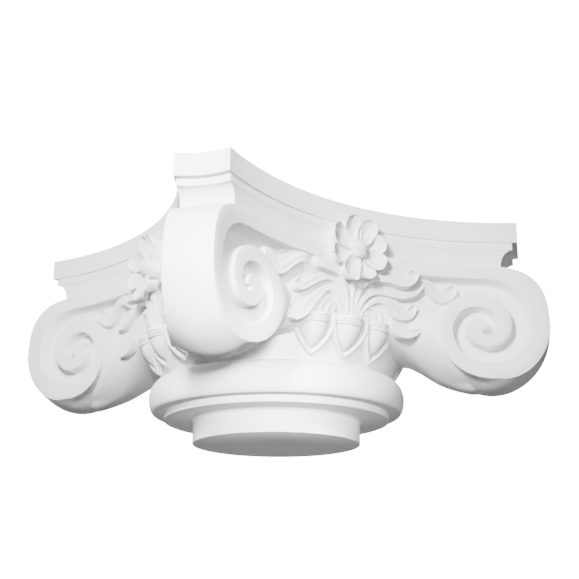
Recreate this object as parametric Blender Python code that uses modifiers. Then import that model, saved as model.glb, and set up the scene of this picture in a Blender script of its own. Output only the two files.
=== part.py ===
"""Angular Ionic column capital, cast in one piece with four like faces.

Metres, +Z up. The origin is the middle of the flat underside. The four concave faces look along
+X, -X, +Y and -Y, and the four volutes stand on the diagonals between them. One face is worked out
on the -Y side and turned about the axis for the others.
"""
import math

import bmesh
import bpy
from mathutils import Matrix, Vector

NAME = "capital"

# Plan of the abacus
REACH = 0.301
CHAMFER_WIDTH = 0.0596
CHAMFER_HOLLOW = 0.006
CHAMFER_HOLLOW_FILLET = 0.005
CHAMFER_HOLLOW_FOOT = 0.002
FACE_MIDDLE = 0.174

# Heights, from the underside upwards
NECK_HEIGHT = 0.0271
SEAT_HEIGHT = 0.0078
RING_HEIGHT = 0.0386
BELL_HEIGHT = 0.1227
CAVETTO_HEIGHT = 0.021
FILLET_HEIGHT = 0.0085
FASCIA_HEIGHT = 0.0253

# Turned foot
NECK_RADIUS = 0.1015
NECK_COVE = 0.003
SEAT_RADIUS = 0.1365
RING_RADIUS = 0.1555
RING_BELLY_HEIGHT = 0.0175
RING_UNDERCUT = 0.007
BELL_FOOT_RADIUS = 0.139
BELL_TOP_RADIUS = 0.159
BELL_FLARE = 0.42
BELL_CURVE = 1.4

# Mouldings under the fascia: how far they stand back, on the faces and at the corners
FILLET_BACK_FACE = 0.0024
FILLET_BACK_CORNER = 0.0068
CAVETTO_BACK_FACE = 0.0052
CAVETTO_BACK_CORNER = 0.0215

# Volutes
EYE_SHARE = 0.5216
VOLUTE_RADIUS = 0.0768
VOLUTE_CROWN_HEIGHT = 0.0746
VOLUTE_SQUASH = 0.93
SHOULDER_FULLNESS = 3.0
CHANNEL_FULLNESS = 2.5
SPIRAL_SHRINK = 0.1686
SPIRAL_EASE = 0.00667
RIBBON_WIDTH = 0.0186
RIBBON_TAPER = 0.035
BAND_HEIGHT = 0.015
CHANNEL_DEPTH = 0.0135
CHANNEL_END = 4.75
BAND_LEDGE = 0.0006
ROLL_SAG = 0.012
ROLL_SAG_SPAN = 0.036
CHEEK_SLOPE = 0.18
FLOOR_CLEARANCE = 0.0012
CHANNEL_LIP = 0.004
BLANK_MARGIN = 0.004

# Arms between the bell and the volutes
ARM_SHOULDER_SHARE = 0.444
ARM_FULLNESS = 2.3
ARM_PAST_EYE = 0.0085
BAND_PAST_EYE = 0.002
BAND_PROUD = 0.01

# Cups on the bell
CUP_LEVEL_SHARE = 0.4156
CUP_DEPTH = 0.039
CUP_RADIUS = 0.0183
CUP_RIM_HEIGHT = 0.0102
CUP_RIM_PROUD = 0.0016
CUP_SINK = 0.0055
CUP_FULLNESS = 0.75
CUP_SPACING = 15.5
CUP_LEAN = 11.0
STRAP_WIDTH = 0.0052
STRAP_ROOT = 0.02

# Leaves
LEAF_CREST = 0.0022
LEAF_EDGE = 0.0016
LEAF_SINK = 0.009

# Flower
FLOWER_DROP = 0.0012
FLOWER_PROUD = 0.0085
PETAL_LENGTH = 0.0385
PETAL_NOTCH = 0.76
PETAL_COUNT = 8
PETAL_FOLD = 0.0025
FLOWER_SINK = 0.003
FLOWER_HEART_RADIUS = 0.0105
STALK_CREST = 0.003
STALK_ROOT = 0.016

# Stations along each leaf: how far along, as a share of the way to the volute's eye; how high, as
# a share of the bell's height; how far back, as a share of the channel's depth; and its width
LEAVES = {
    "upper": ((0.006, 0.440, 0.60, 0.0050), (0.036, 0.625, 0.60, 0.0078), (0.112, 0.765, 0.40, 0.0130),
              (0.262, 0.820, 0.16, 0.0186), (0.388, 0.795, 0.00, 0.0190), (0.482, 0.885, -0.20, 0.0075)),
    "long": ((0.020, 0.420, 0.70, 0.0048), (0.100, 0.610, 0.78, 0.0115), (0.235, 0.702, 0.74, 0.0150),
             (0.400, 0.673, 0.67, 0.0125), (0.560, 0.785, 0.67, 0.0100), (0.690, 0.702, 0.74, 0.0165),
             (0.812, 0.792, 0.67, 0.0100)),
    "drooping": ((0.040, 0.410, 0.80, 0.0046), (0.145, 0.556, 0.88, 0.0090), (0.262, 0.604, 0.90, 0.0120),
                 (0.340, 0.545, 0.96, 0.0200), (0.425, 0.476, 0.96, 0.0140), (0.504, 0.580, 0.84, 0.0060)),
    "outer": ((0.060, 0.400, 0.90, 0.0040), (0.180, 0.548, 1.02, 0.0060), (0.290, 0.570, 1.08, 0.0070),
              (0.340, 0.430, 1.15, 0.0070), (0.405, 0.300, 1.08, 0.0200), (0.530, 0.341, 1.02, 0.0050)),
    "inner": ((0.125, 0.490, 1.00, 0.0040), (0.190, 0.512, 1.02, 0.0100), (0.240, 0.390, 1.30, 0.0130)),
}

# Stations of an arm's keel, out along its diagonal: share of the way to the middle of the eyes, and
# share of the bell's height above its foot
KEEL = ((0.45, 0.204), (0.63, 0.165), (0.71, 0.090), (0.753, 0.025), (0.82, -0.065), (0.89, -0.126),
        (0.96, -0.168), (1.0, -0.172))

# Stations down a strap: how far aside, as a share of half the cups' spacing; how far below the
# rim, as a share of the cup's depth; and how far it stands out of the bell
STRAPS = ((1.0, 0.06, 0.0050), (0.97, 0.32, 0.0060), (0.72, 0.66, 0.0068), (0.0, 1.08, 0.0050))

# Stations up the stalk: share of the way from the cup's rim to the flower, half width and place
# out of the face
STALK = ((-0.14, 0.0045, -0.008), (0.16, 0.0045, -0.008), (0.45, 0.0055, -0.005), (0.75, 0.0100, 0.003))

# Facets
ARC_STEPS = 12
CUT_STEPS = 4
TURN_STEPS = 40
SPIRAL_STEPS = 6
CHANNEL_STEPS = 5
LEAF_STEPS = 8
ARM_STEPS = 9
ARM_ROUND_STEPS = 4
CUP_STEPS = 10
TRIANGLE_LIMIT = 9800
HAIR = 0.0002
MERGE = 0.000001

FACE_TURNS = [math.radians(90.0 * turn) for turn in range(4)]


def levels():
    """Heights of the main beds above the underside."""
    seat = NECK_HEIGHT
    ring = seat + SEAT_HEIGHT
    bell = ring + RING_HEIGHT
    band_top = bell + BELL_HEIGHT
    fillet = band_top + CAVETTO_HEIGHT
    fascia = fillet + FILLET_HEIGHT
    top = fascia + FASCIA_HEIGHT
    return {"seat": seat, "ring": ring, "bell": bell, "band_top": band_top,
            "fillet": fillet, "fascia": fascia, "top": top}


LEVEL = levels()
BAND_FOOT = LEVEL["band_top"] - BAND_HEIGHT
EYE_HEIGHT = LEVEL["band_top"] - VOLUTE_CROWN_HEIGHT
EYE_OFFSET = EYE_SHARE * REACH
FLOOR_BACK = CHANNEL_DEPTH + FLOOR_CLEARANCE
CUP_TOP_HEIGHT = LEVEL["bell"] + CUP_LEVEL_SHARE * BELL_HEIGHT
FLOWER_HEIGHT = LEVEL["band_top"] - FLOWER_DROP


def face_arc():
    """Radius of the concave face in plan, and how far its centre lies from the axis."""
    half_span = (REACH - CHAMFER_WIDTH / 2.0) / math.sqrt(2.0)
    end_depth = (REACH + CHAMFER_WIDTH / 2.0) / math.sqrt(2.0)
    rise = end_depth - FACE_MIDDLE
    radius = (half_span ** 2 + rise ** 2) / (2.0 * rise)
    return radius, FACE_MIDDLE + radius


ARC_RADIUS, ARC_CENTRE = face_arc()


def on_face(along, out, height):
    """Point of the -Y face, measured along its arc, outwards from it and upwards."""
    angle = along / ARC_RADIUS
    radius = ARC_RADIUS - out
    return Vector((radius * math.sin(angle), radius * math.cos(angle) - ARC_CENTRE, height))


def diagonal_reach(along):
    """Distance from the axis, along the corner's diagonal, of a point of the face's arc."""
    point = on_face(along, 0.0, 0.0)
    return (point.x - point.y) / math.sqrt(2.0)


def arc_end(back, reach):
    """Angle at which a face set back by a given depth meets a corner cut at a given reach."""
    radius = ARC_RADIUS + back
    ratio = (math.sqrt(2.0) * reach - ARC_CENTRE) / (radius * math.sqrt(2.0))
    return math.radians(45.0) + math.asin(max(-1.0, min(1.0, ratio)))


def plan_side(back, reach, hollow):
    """Points of one face and of the corner cut that follows it, anticlockwise from above."""
    end = arc_end(back, reach)
    radius = ARC_RADIUS + back
    points = []
    for step in range(ARC_STEPS + 1):
        angle = end * (2.0 * step / ARC_STEPS - 1.0)
        points.append(Vector((radius * math.sin(angle), radius * math.cos(angle) - ARC_CENTRE)))
    start = points[-1]
    stop = Vector((-start.y, -start.x))
    for step in range(1, CUT_STEPS):
        share = step / CUT_STEPS
        sag = 4.0 * hollow * share * (1.0 - share)
        points.append(start.lerp(stop, share) + Vector((-1.0, 1.0)).normalized() * sag)
    return points


def plan(back, reach, hollow=0.0):
    """Closed plan outline of all four faces, set back by a depth and cut at a reach."""
    side = plan_side(back, reach, hollow)
    return [Matrix.Rotation(turn, 2) @ point for turn in FACE_TURNS for point in side]


def new_object(name, mesh_bm, collection):
    """Turn a bmesh into an object of a collection."""
    bmesh.ops.recalc_face_normals(mesh_bm, faces=mesh_bm.faces)
    mesh = bpy.data.meshes.new(name)
    mesh_bm.to_mesh(mesh)
    mesh_bm.free()
    piece = bpy.data.objects.new(name, mesh)
    collection.objects.link(piece)
    return piece


def loft(name, rings, collection):
    """Closed solid through rings of equally many points, capped at both ends."""
    shape = bmesh.new()
    rows = [[shape.verts.new(point) for point in ring] for ring in rings]
    count = len(rows[0])
    for low, high in zip(rows, rows[1:]):
        for index in range(count):
            after = (index + 1) % count
            shape.faces.new((low[index], low[after], high[after], high[index]))
    shape.faces.new(reversed(rows[0]))
    shape.faces.new(rows[-1])
    return new_object(name, shape, collection)


def plan_stack(name, courses, collection):
    """Loft of plan outlines: each course is a height, a set-back, a reach and a hollow."""
    rings = []
    for height, back, reach, hollow in courses:
        rings.append([Vector((point.x, point.y, height)) for point in plan(back, reach, hollow)])
    return loft(name, rings, collection)


def abacus(collection):
    """Fascia, fillet and cavetto that run round the faces and the cut corners."""
    steps = 3
    face_span = CAVETTO_BACK_FACE - FILLET_BACK_FACE
    corner_span = CAVETTO_BACK_CORNER - FILLET_BACK_CORNER
    hollow_span = CHAMFER_HOLLOW_FILLET - CHAMFER_HOLLOW_FOOT
    foot = BAND_FOOT + 0.1 * BAND_HEIGHT
    courses = [(foot, CAVETTO_BACK_FACE, REACH - CAVETTO_BACK_CORNER, CHAMFER_HOLLOW_FOOT)]
    for step in range(steps + 1):
        angle = math.radians(90.0) * step / steps
        height = LEVEL["band_top"] + CAVETTO_HEIGHT * math.sin(angle)
        share = math.cos(angle)
        face = FILLET_BACK_FACE + face_span * share
        corner = FILLET_BACK_CORNER + corner_span * share
        courses.append((height, face, REACH - corner, CHAMFER_HOLLOW_FILLET - hollow_span * share))
    fillet_reach = REACH - FILLET_BACK_CORNER
    courses.append((LEVEL["fascia"], FILLET_BACK_FACE, fillet_reach, CHAMFER_HOLLOW_FILLET))
    courses.append((LEVEL["fascia"], 0.0, REACH, CHAMFER_HOLLOW))
    courses.append((LEVEL["top"], 0.0, REACH, CHAMFER_HOLLOW))
    return plan_stack("abacus", courses, collection)


def shoulder(quarter, across, up, fullness):
    """Radius of the full, rounded shoulder between the band and the volute's outermost point."""
    angle = math.radians(-90.0) * quarter
    level = (math.cos(angle) / across) ** fullness
    upright = (math.sin(angle) / up) ** fullness
    return (level + upright) ** (-1.0 / fullness)


def spiral_radius(quarter):
    """Radius of the volute's outer edge, in quarter turns past the outermost point."""
    if quarter < 0.0:
        return shoulder(quarter, VOLUTE_RADIUS, VOLUTE_CROWN_HEIGHT, SHOULDER_FULLNESS)
    return VOLUTE_RADIUS * (1.0 - SPIRAL_SHRINK * quarter + SPIRAL_EASE * quarter ** 2)


def ribbon_width(quarter):
    """Width of the raised ribbon past the volute's outermost point."""
    return RIBBON_WIDTH * (1.0 - RIBBON_TAPER * quarter)


def channel_radius(quarter):
    """Radius of the channel's outer cheek, which is the ribbon's inner edge."""
    if quarter < 0.0:
        across = VOLUTE_RADIUS - RIBBON_WIDTH
        up = VOLUTE_CROWN_HEIGHT - BAND_HEIGHT - BAND_LEDGE
        return shoulder(quarter, across, up, CHANNEL_FULLNESS)
    return spiral_radius(quarter) - ribbon_width(quarter)


def spiral_point(quarter, radius):
    """Place on the face, along and up, of a point of the right-hand volute."""
    angle = math.radians(90.0) * quarter
    squash = VOLUTE_SQUASH if quarter > 0.0 else 1.0
    along = EYE_OFFSET + radius * math.cos(angle)
    height = EYE_HEIGHT - squash * radius * math.sin(angle)
    return along, height


def roll_outline():
    """Section of a corner's roll: reach on its diagonal, height, and how far it counts as underside."""
    points = []
    for step in range(4 * SPIRAL_STEPS + 1):
        quarter = -1.0 + step / SPIRAL_STEPS
        along, height = spiral_point(quarter, spiral_radius(quarter))
        underside = max(0.0, math.sin(math.radians(90.0) * quarter))
        points.append((diagonal_reach(along), height, underside))
    return points


def roll(name, turn, collection):
    """Blank of a corner's roll, drawn across its diagonal and sagging in the middle."""
    across = Vector((1.0, 1.0, 0.0)).normalized()
    outward = Vector((1.0, -1.0, 0.0)).normalized()
    spin = Matrix.Rotation(turn, 3, "Z")
    rings = []
    for share in (-REACH / ROLL_SAG_SPAN, -1.0, -0.55, 0.0, 0.55, 1.0, REACH / ROLL_SAG_SPAN):
        middle = max(0.0, 1.0 - share ** 2)
        side = share * ROLL_SAG_SPAN
        ring = []
        for reach, height, underside in roll_outline():
            place = Vector((0.0, 0.0, height - ROLL_SAG * middle * underside))
            ring.append(spin @ (outward * reach + across * side + place))
        rings.append(ring)
    return loft(name, rings, collection)


def channel_section(quarter):
    """Section of the volute's channel: a trough with sloping cheeks, open outwards."""
    outer = Vector(spiral_point(quarter, channel_radius(quarter)))
    inner = Vector(spiral_point(quarter + 4.0, spiral_radius(quarter + 4.0)))
    ring = []
    spread = CHEEK_SLOPE * CHANNEL_LIP / CHANNEL_DEPTH
    for share, out in ((-spread, CHANNEL_LIP), (CHEEK_SLOPE, -CHANNEL_DEPTH),
                       (1.0 - CHEEK_SLOPE, -CHANNEL_DEPTH), (1.0 + spread, CHANNEL_LIP)):
        place = outer.lerp(inner, share)
        ring.append((place.x, out, place.y))
    return ring


def channel_rings():
    """Sections of the channel from the open band inwards to its rounded end."""
    first = channel_section(-1.0)
    rings = [[(along - CHANNEL_DEPTH, out, height) for along, out, height in first]]
    count = int((CHANNEL_END + 1.0) * CHANNEL_STEPS)
    for step in range(count + 1):
        rings.append(channel_section(-1.0 + (CHANNEL_END + 1.0) * step / count))
    return rings


def channel(name, mirror, turn, collection):
    """Cutter for the spiral channel of one volute."""
    spin = Matrix.Rotation(turn, 3, "Z")
    rings = []
    for ring in channel_rings():
        rings.append([spin @ on_face(mirror * along, out, height) for along, out, height in ring])
    return loft(name, rings, collection)


def arm_width(reach):
    """Half width of an arm at a reach along its diagonal, from its middle to a face's floor."""
    radius = ARC_RADIUS + FLOOR_BACK
    half = ARC_CENTRE / math.sqrt(2.0)
    offset = reach ** 2 + ARC_CENTRE ** 2 - 2.0 * half * reach - radius ** 2
    return half - math.sqrt(half ** 2 - offset)


def arm_section(reach, keel):
    """Section of an arm across its diagonal: upright sides that round down to the keel."""
    width = arm_width(reach)
    shoulder_height = LEVEL["bell"] + ARM_SHOULDER_SHARE * BELL_HEIGHT
    points = [(width, LEVEL["band_top"] - 0.5 * BAND_HEIGHT)]
    for step in range(ARM_ROUND_STEPS + 1):
        angle = math.radians(90.0) * step / ARM_ROUND_STEPS
        side = width * max(0.0, math.cos(angle)) ** (2.0 / ARM_FULLNESS)
        height = shoulder_height - (shoulder_height - keel) * math.sin(angle) ** (2.0 / ARM_FULLNESS)
        points.append((side, height))
    return points + [(-side, height) for side, height in reversed(points[:-1])]


def arm(name, turn, collection):
    """Arm that carries a roll out from the bell and grows deeper on its way."""
    spin = Matrix.Rotation(turn, 3, "Z")
    across = Vector((1.0, 1.0, 0.0)).normalized()
    outward = Vector((1.0, -1.0, 0.0)).normalized()
    end = diagonal_reach(EYE_OFFSET)
    path = [(share * end, up) for share, up in smooth_path([Vector(place) for place in KEEL], ARM_STEPS)]
    path.append((end + ARM_PAST_EYE, KEEL[-1][1]))
    rings = []
    for reach, up in path:
        section = arm_section(reach, LEVEL["bell"] + up * BELL_HEIGHT)
        rings.append([spin @ (outward * reach + across * side + Vector((0.0, 0.0, height)))
                      for side, height in section])
    return loft(name, rings, collection)


def band(collection):
    """Slab whose rim, once trimmed, is the plain band under the abacus."""
    reach = diagonal_reach(EYE_OFFSET) + BAND_PAST_EYE
    courses = [(BAND_FOOT, -BAND_PROUD, reach, 0.0), (LEVEL["band_top"], -BAND_PROUD, reach, 0.0)]
    return plan_stack("band", courses, collection)


def face_prism(collection):
    """Upright prism of the faces' plan, which trims the rolls and the band."""
    reach = diagonal_reach(EYE_OFFSET + VOLUTE_RADIUS) + BLANK_MARGIN
    top = LEVEL["band_top"] + 0.5 * BLANK_MARGIN
    courses = [(LEVEL["ring"], 0.0, reach, 0.0), (top, 0.0, reach, 0.0)]
    return plan_stack("face_prism", courses, collection)


def bell_radius(height):
    """Radius of the bell at a height: it flares over its lower part and is straight above."""
    share = 1.0 - (height - LEVEL["bell"]) / (BELL_FLARE * BELL_HEIGHT)
    share = max(0.0, min(1.0, share))
    return BELL_TOP_RADIUS + (BELL_FOOT_RADIUS - BELL_TOP_RADIUS) * share ** BELL_CURVE


def foot_profile():
    """Profile of the turned foot and bell, from the top down: radius and height."""
    bell_top = BAND_FOOT + 0.3 * BAND_HEIGHT
    points = [(0.0, bell_top), (BELL_TOP_RADIUS, bell_top)]
    bell_steps = 4
    for step in range(bell_steps + 1):
        height = LEVEL["bell"] + BELL_FLARE * BELL_HEIGHT * (1.0 - step / bell_steps)
        points.append((bell_radius(height), height))
    points += ring_profile()
    points += [(SEAT_RADIUS, LEVEL["ring"]), (SEAT_RADIUS, LEVEL["seat"])]
    points += [(NECK_RADIUS + NECK_COVE, LEVEL["seat"]), (NECK_RADIUS, LEVEL["seat"] - NECK_COVE)]
    points += [(NECK_RADIUS, 0.0), (0.0, 0.0)]
    return points


def ring_profile():
    """Full round ring that swells out of the bell and turns under at its foot."""
    points = []
    belly = LEVEL["ring"] + RING_BELLY_HEIGHT
    shoulder_rise = LEVEL["bell"] - belly
    steps = 4
    for step in range(1, steps + 1):
        angle = math.radians(90.0) * (1.0 - step / steps)
        radius = BELL_FOOT_RADIUS + (RING_RADIUS - BELL_FOOT_RADIUS) * math.cos(angle)
        points.append((radius, belly + shoulder_rise * math.sin(angle)))
    for step in range(1, steps):
        angle = math.radians(90.0) * step / (steps - 1)
        radius = RING_RADIUS - RING_UNDERCUT * (1.0 - math.cos(angle))
        points.append((radius, belly - RING_BELLY_HEIGHT * math.sin(angle)))
    return points


def turned(name, profile, steps, collection):
    """Solid of revolution about the Z axis from a profile of radii and heights."""
    mesh = bpy.data.meshes.new(name)
    edges = [(index, index + 1) for index in range(len(profile) - 1)]
    mesh.from_pydata([(radius, 0.0, height) for radius, height in profile], edges, [])
    piece = bpy.data.objects.new(name, mesh)
    collection.objects.link(piece)
    screw = piece.modifiers.new("Turn", "SCREW")
    screw.steps = steps
    screw.render_steps = steps
    screw.use_merge_vertices = True
    screw.merge_threshold = MERGE
    return piece


def smooth_path(points, count):
    """Evenly parted points on a smooth curve through the given ones."""
    ends = [points[0] * 2.0 - points[1]] + list(points) + [points[-1] * 2.0 - points[-2]]
    spans = len(points) - 1
    curve = []
    for step in range(count + 1):
        place = min(spans * step / count, spans - 1e-9)
        index = int(place)
        t = place - index
        a, b, c, d = ends[index:index + 4]
        bend = (a * 2.0 - b * 5.0 + c * 4.0 - d) * t * t
        twist = (b * 3.0 - a - c * 3.0 + d) * t * t * t
        curve.append((b * 2.0 + (c - a) * t + bend + twist) * 0.5)
    return curve


def blade_section(along, height, out, side):
    """Section of a leaf at a place on the face: edge, crest and edge, and the two feet of its sides."""
    floor = min(out, -FLOOR_BACK) - LEAF_SINK
    above = (along + side.x, height + side.y)
    below = (along - side.x, height - side.y)
    return [(above[0], out - LEAF_EDGE, above[1]), (along, out + LEAF_CREST, height),
            (below[0], out - LEAF_EDGE, below[1]), (below[0], floor, below[1]), (above[0], floor, above[1])]


def leaf_stations(kind):
    """Stations of a leaf in metres: along, height, out and half width."""
    stations = []
    for along, up, back, width in LEAVES[kind]:
        height = LEVEL["bell"] + up * BELL_HEIGHT
        stations.append(Vector((along * EYE_OFFSET, height, -back * CHANNEL_DEPTH, width / 2.0)))
    return smooth_path(stations, LEAF_STEPS)


def leaf(name, kind, mirror, turn, collection):
    """One arching leaf that starts in the middle cup, or in the cup beside it."""
    path = leaf_stations(kind)
    spin = Matrix.Rotation(turn, 3, "Z")
    rings = []
    for index, place in enumerate(path):
        ahead = path[min(index + 1, len(path) - 1)] - path[max(index - 1, 0)]
        side = Vector((-ahead.y, ahead.x)).normalized() * place.w
        section = blade_section(place.x, place.y, place.z + mirror * HAIR, side)
        rings.append([spin @ on_face(mirror * along, out, height) for along, out, height in section])
    return loft(name, rings, collection)


def cup_profile():
    """Profile of a cup from its rim down to its tip: radius and height below the rim."""
    rim = CUP_RADIUS + CUP_RIM_PROUD
    points = [(0.0, 0.0), (rim, 0.0), (rim, -CUP_RIM_HEIGHT), (CUP_RADIUS, -CUP_RIM_HEIGHT)]
    steps = 4
    body = CUP_DEPTH - CUP_RIM_HEIGHT
    for step in range(1, steps):
        share = step / steps
        radius = CUP_RADIUS * math.cos(math.radians(90.0) * share) ** CUP_FULLNESS
        points.append((radius, -CUP_RIM_HEIGHT - body * share))
    points.append((0.0, -CUP_DEPTH))
    return points


def cup(name, angle, collection):
    """One cup set into the bell, at an angle about the axis from the middle of a face."""
    piece = turned(name, cup_profile(), CUP_STEPS, collection)
    spin = Matrix.Rotation(angle, 4, "Z")
    place = Vector((0.0, CUP_SINK - bell_radius(CUP_TOP_HEIGHT), CUP_TOP_HEIGHT))
    lean = Matrix.Rotation(math.radians(CUP_LEAN), 4, "X")
    piece.matrix_world = spin @ Matrix.Translation(place) @ lean
    return piece


def bell_point(angle, radius, height):
    """Point about the axis, at an angle from the middle of the -Y face."""
    return Vector((radius * math.sin(angle), -radius * math.cos(angle), height))


def strap(name, angle, side, collection):
    """One of the pointed straps that hold a cup: from beside the rim down to below the tip."""
    half = math.radians(CUP_SPACING) / 2.0
    rings = []
    for aside, down, proud in STRAPS:
        height = CUP_TOP_HEIGHT - down * CUP_DEPTH
        radius = bell_radius(height) + proud + side * HAIR
        root = radius - STRAP_ROOT
        turn = STRAP_WIDTH / radius / 2.0
        centre = angle + side * aside * half
        rings.append([bell_point(centre - turn, radius, height), bell_point(centre + turn, radius, height),
                      bell_point(centre + turn, root, height), bell_point(centre - turn, root, height)])
    return loft(name, rings, collection)


def flower(name, turn, collection):
    """Open flower: one cupped disc whose rim runs out and in with the petals."""
    spin = Matrix.Rotation(turn, 3, "Z")
    back = -FLOWER_PROUD - FLOOR_BACK - FLOWER_SINK
    rings = []
    for tip, notch, lift, fold in ((1.0, 1.0, back, 0.0), (1.0, PETAL_NOTCH, 0.0, PETAL_FOLD),
                                   (0.72, 0.60, 0.0, PETAL_FOLD), (0.22, 0.22, -0.002, 0.0)):
        ring = []
        for step in range(4 * PETAL_COUNT):
            bearing = math.tau * (step + 2.0) / (4 * PETAL_COUNT)
            near_tip = (tip * 2.0 + notch) / 3.0
            share = (tip, near_tip, notch, near_tip)[step % 4]
            out = FLOWER_PROUD + lift - (fold if step % 4 == 2 else 0.0)
            along = PETAL_LENGTH * share * math.cos(bearing)
            height = FLOWER_HEIGHT + PETAL_LENGTH * share * math.sin(bearing)
            ring.append(spin @ on_face(along, out, height))
        rings.append(ring)
    return loft(name, rings, collection)


def heart(name, turn, collection):
    """Domed heart of the flower."""
    shape = bmesh.new()
    bmesh.ops.create_uvsphere(shape, u_segments=10, v_segments=7, radius=FLOWER_HEART_RADIUS)
    bmesh.ops.rotate(shape, verts=shape.verts, matrix=Matrix.Rotation(math.radians(90.0), 3, "X"))
    place = on_face(0.0, FLOWER_PROUD, FLOWER_HEIGHT)
    bmesh.ops.translate(shape, verts=shape.verts, vec=Matrix.Rotation(turn, 3, "Z") @ place)
    return new_object(name, shape, collection)


def stalk(name, turn, collection):
    """Stalk that climbs from the middle cup to the flower."""
    spin = Matrix.Rotation(turn, 3, "Z")
    rings = []
    for share, half, out in STALK:
        height = CUP_TOP_HEIGHT + (FLOWER_HEIGHT - CUP_TOP_HEIGHT) * share
        root = out - STALK_ROOT
        ring = [(half, out), (0.0, out + STALK_CREST), (-half, out), (-half, root), (half, root)]
        rings.append([spin @ on_face(along, depth, height) for along, depth in ring])
    return loft(name, rings, collection)


def ornament(turn, index, collection):
    """Cups, straps, leaves, stalk and flower of one face."""
    for place in (-1, 0, 1):
        angle = turn + place * math.radians(CUP_SPACING)
        cup(f"cup_{index}_{place + 1}", angle, collection)
        for side in (-1, 1):
            strap(f"strap_{index}_{place + 1}_{side + 1}", angle, side, collection)
    for mirror in (-1, 1):
        for kind in LEAVES:
            leaf(f"leaf_{kind}_{index}_{mirror + 1}", kind, mirror, turn, collection)
    stalk(f"stalk_{index}", turn, collection)
    flower(f"flower_{index}", turn, collection)
    heart(f"heart_{index}", turn, collection)


def combine(target, operation, operand):
    """Apply one exact Boolean of a target with a collection of solids."""
    step = target.modifiers.new(operation.title(), "BOOLEAN")
    step.operation = operation
    step.solver = "EXACT"
    step.operand_type = "COLLECTION"
    step.collection = operand
    bake(target)


def bake(piece):
    """Replace an object's mesh by the one its modifiers give."""
    bpy.context.view_layer.update()
    evaluated = piece.evaluated_get(bpy.context.evaluated_depsgraph_get())
    mesh = bpy.data.meshes.new_from_object(evaluated)
    piece.modifiers.clear()
    piece.data = mesh


def islands(shape):
    """Groups of points of a mesh that hang together."""
    loose = set(shape.verts)
    groups = []
    while loose:
        front = [loose.pop()]
        group = []
        while front:
            point = front.pop()
            group.append(point)
            near = {edge.other_vert(point) for edge in point.link_edges} & loose
            loose -= near
            front += near
        groups.append(group)
    return groups


def keep_outer_shell(shape):
    """Drop crumbs, and the walls of pockets that overlapping solids leave closed inside."""
    groups = sorted(islands(shape), key=len)
    for group in groups[:-1]:
        bmesh.ops.delete(shape, geom=group, context="VERTS")


def drop_doubled_slivers(shape):
    """Remove flat triangles that two neighbouring faces were both given along a straight edge."""
    same_corners = {}
    for face in shape.faces:
        same_corners.setdefault(frozenset(face.verts), []).append(face)
    doubled = [face for group in same_corners.values() if len(group) > 1 for face in group]
    bmesh.ops.delete(shape, geom=doubled, context="FACES")


def tidy_mesh(piece):
    """Keep the outer shell, merge doubled points, and cut the faces into triangles."""
    shape = bmesh.new()
    shape.from_mesh(piece.data)
    keep_outer_shell(shape)
    bmesh.ops.remove_doubles(shape, verts=shape.verts, dist=MERGE)
    bmesh.ops.dissolve_degenerate(shape, edges=shape.edges, dist=MERGE)
    bmesh.ops.triangulate(shape, faces=shape.faces)
    drop_doubled_slivers(shape)
    shape.to_mesh(piece.data)
    shape.free()


def thin_mesh(piece):
    """Bring the facets down to the limit, the least telling ones first."""
    count = len(piece.data.polygons)
    if count > TRIANGLE_LIMIT:
        step = piece.modifiers.new("Thin", "DECIMATE")
        step.ratio = TRIANGLE_LIMIT / count
        bake(piece)


def new_collection(name):
    """Collection under the scene's own."""
    group = bpy.data.collections.new(name)
    bpy.context.scene.collection.children.link(group)
    return group


def white_cast():
    """Matt white cast material."""
    material = bpy.data.materials.new("white_cast")
    material.use_nodes = True
    shader = material.node_tree.nodes["Principled BSDF"]
    shader.inputs["Base Color"].default_value = (0.86, 0.86, 0.85, 1.0)
    shader.inputs["Roughness"].default_value = 0.62
    shader.inputs["Metallic"].default_value = 0.0
    return material


def clear_scene():
    """Remove what the scene starts with."""
    for piece in list(bpy.data.objects):
        bpy.data.objects.remove(piece)


def trimmed_rolls(blanks, cutters):
    """Band and four rolls trimmed to the concave faces, with the spiral channels cut in."""
    trimmed = band(blanks)
    rolls = new_collection("rolls")
    for index, turn in enumerate(FACE_TURNS):
        roll(f"roll_{index}", turn, rolls)
    combine(trimmed, "UNION", rolls)
    trim = new_collection("trim")
    face_prism(trim)
    combine(trimmed, "INTERSECT", trim)
    for index, turn in enumerate(FACE_TURNS):
        for mirror in (-1, 1):
            channel(f"channel_{index}_{mirror + 1}", mirror, turn, cutters)
    combine(trimmed, "DIFFERENCE", cutters)
    return trimmed, (rolls, trim)


def hide_guides(group):
    """Mark the objects of a collection as construction shapes."""
    for piece in group.objects:
        piece.hide_render = True
        piece.display_type = "WIRE"


def build():
    """Model the whole capital."""
    clear_scene()
    parts = new_collection(NAME)
    blanks = new_collection("blanks")
    cutters = new_collection("channel_cutters")
    carving = new_collection("carving")
    capital = turned(NAME, foot_profile(), TURN_STEPS, parts)
    bake(capital)
    trimmed, guides = trimmed_rolls(blanks, cutters)
    abacus(blanks)
    for index, turn in enumerate(FACE_TURNS):
        arm(f"arm_{index}", turn, blanks)
    combine(capital, "UNION", blanks)
    for index, turn in enumerate(FACE_TURNS):
        ornament(turn, index, carving)
    combine(capital, "UNION", carving)
    tidy_mesh(capital)
    thin_mesh(capital)
    capital.data.materials.clear()
    capital.data.materials.append(white_cast())
    for group in (blanks, cutters, carving) + guides:
        hide_guides(group)
    return capital


if __name__ == "__main__":
    build()
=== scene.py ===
"""Looks of the angular Ionic capital: fine mesh for every moulding, volute and leaf, in one white finish.

The capital has four like faces. Shapes are worked out on the -Y face, in metres: along its concave arc,
outwards from it and upwards. Each is then turned about the axis for the other faces.
"""

import math

import bmesh
import bpy
import numpy as np
from bpy.props import FloatProperty, FloatVectorProperty, PointerProperty
from bpy.types import Operator, Panel, PropertyGroup
from mathutils import Matrix, Vector


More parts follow.
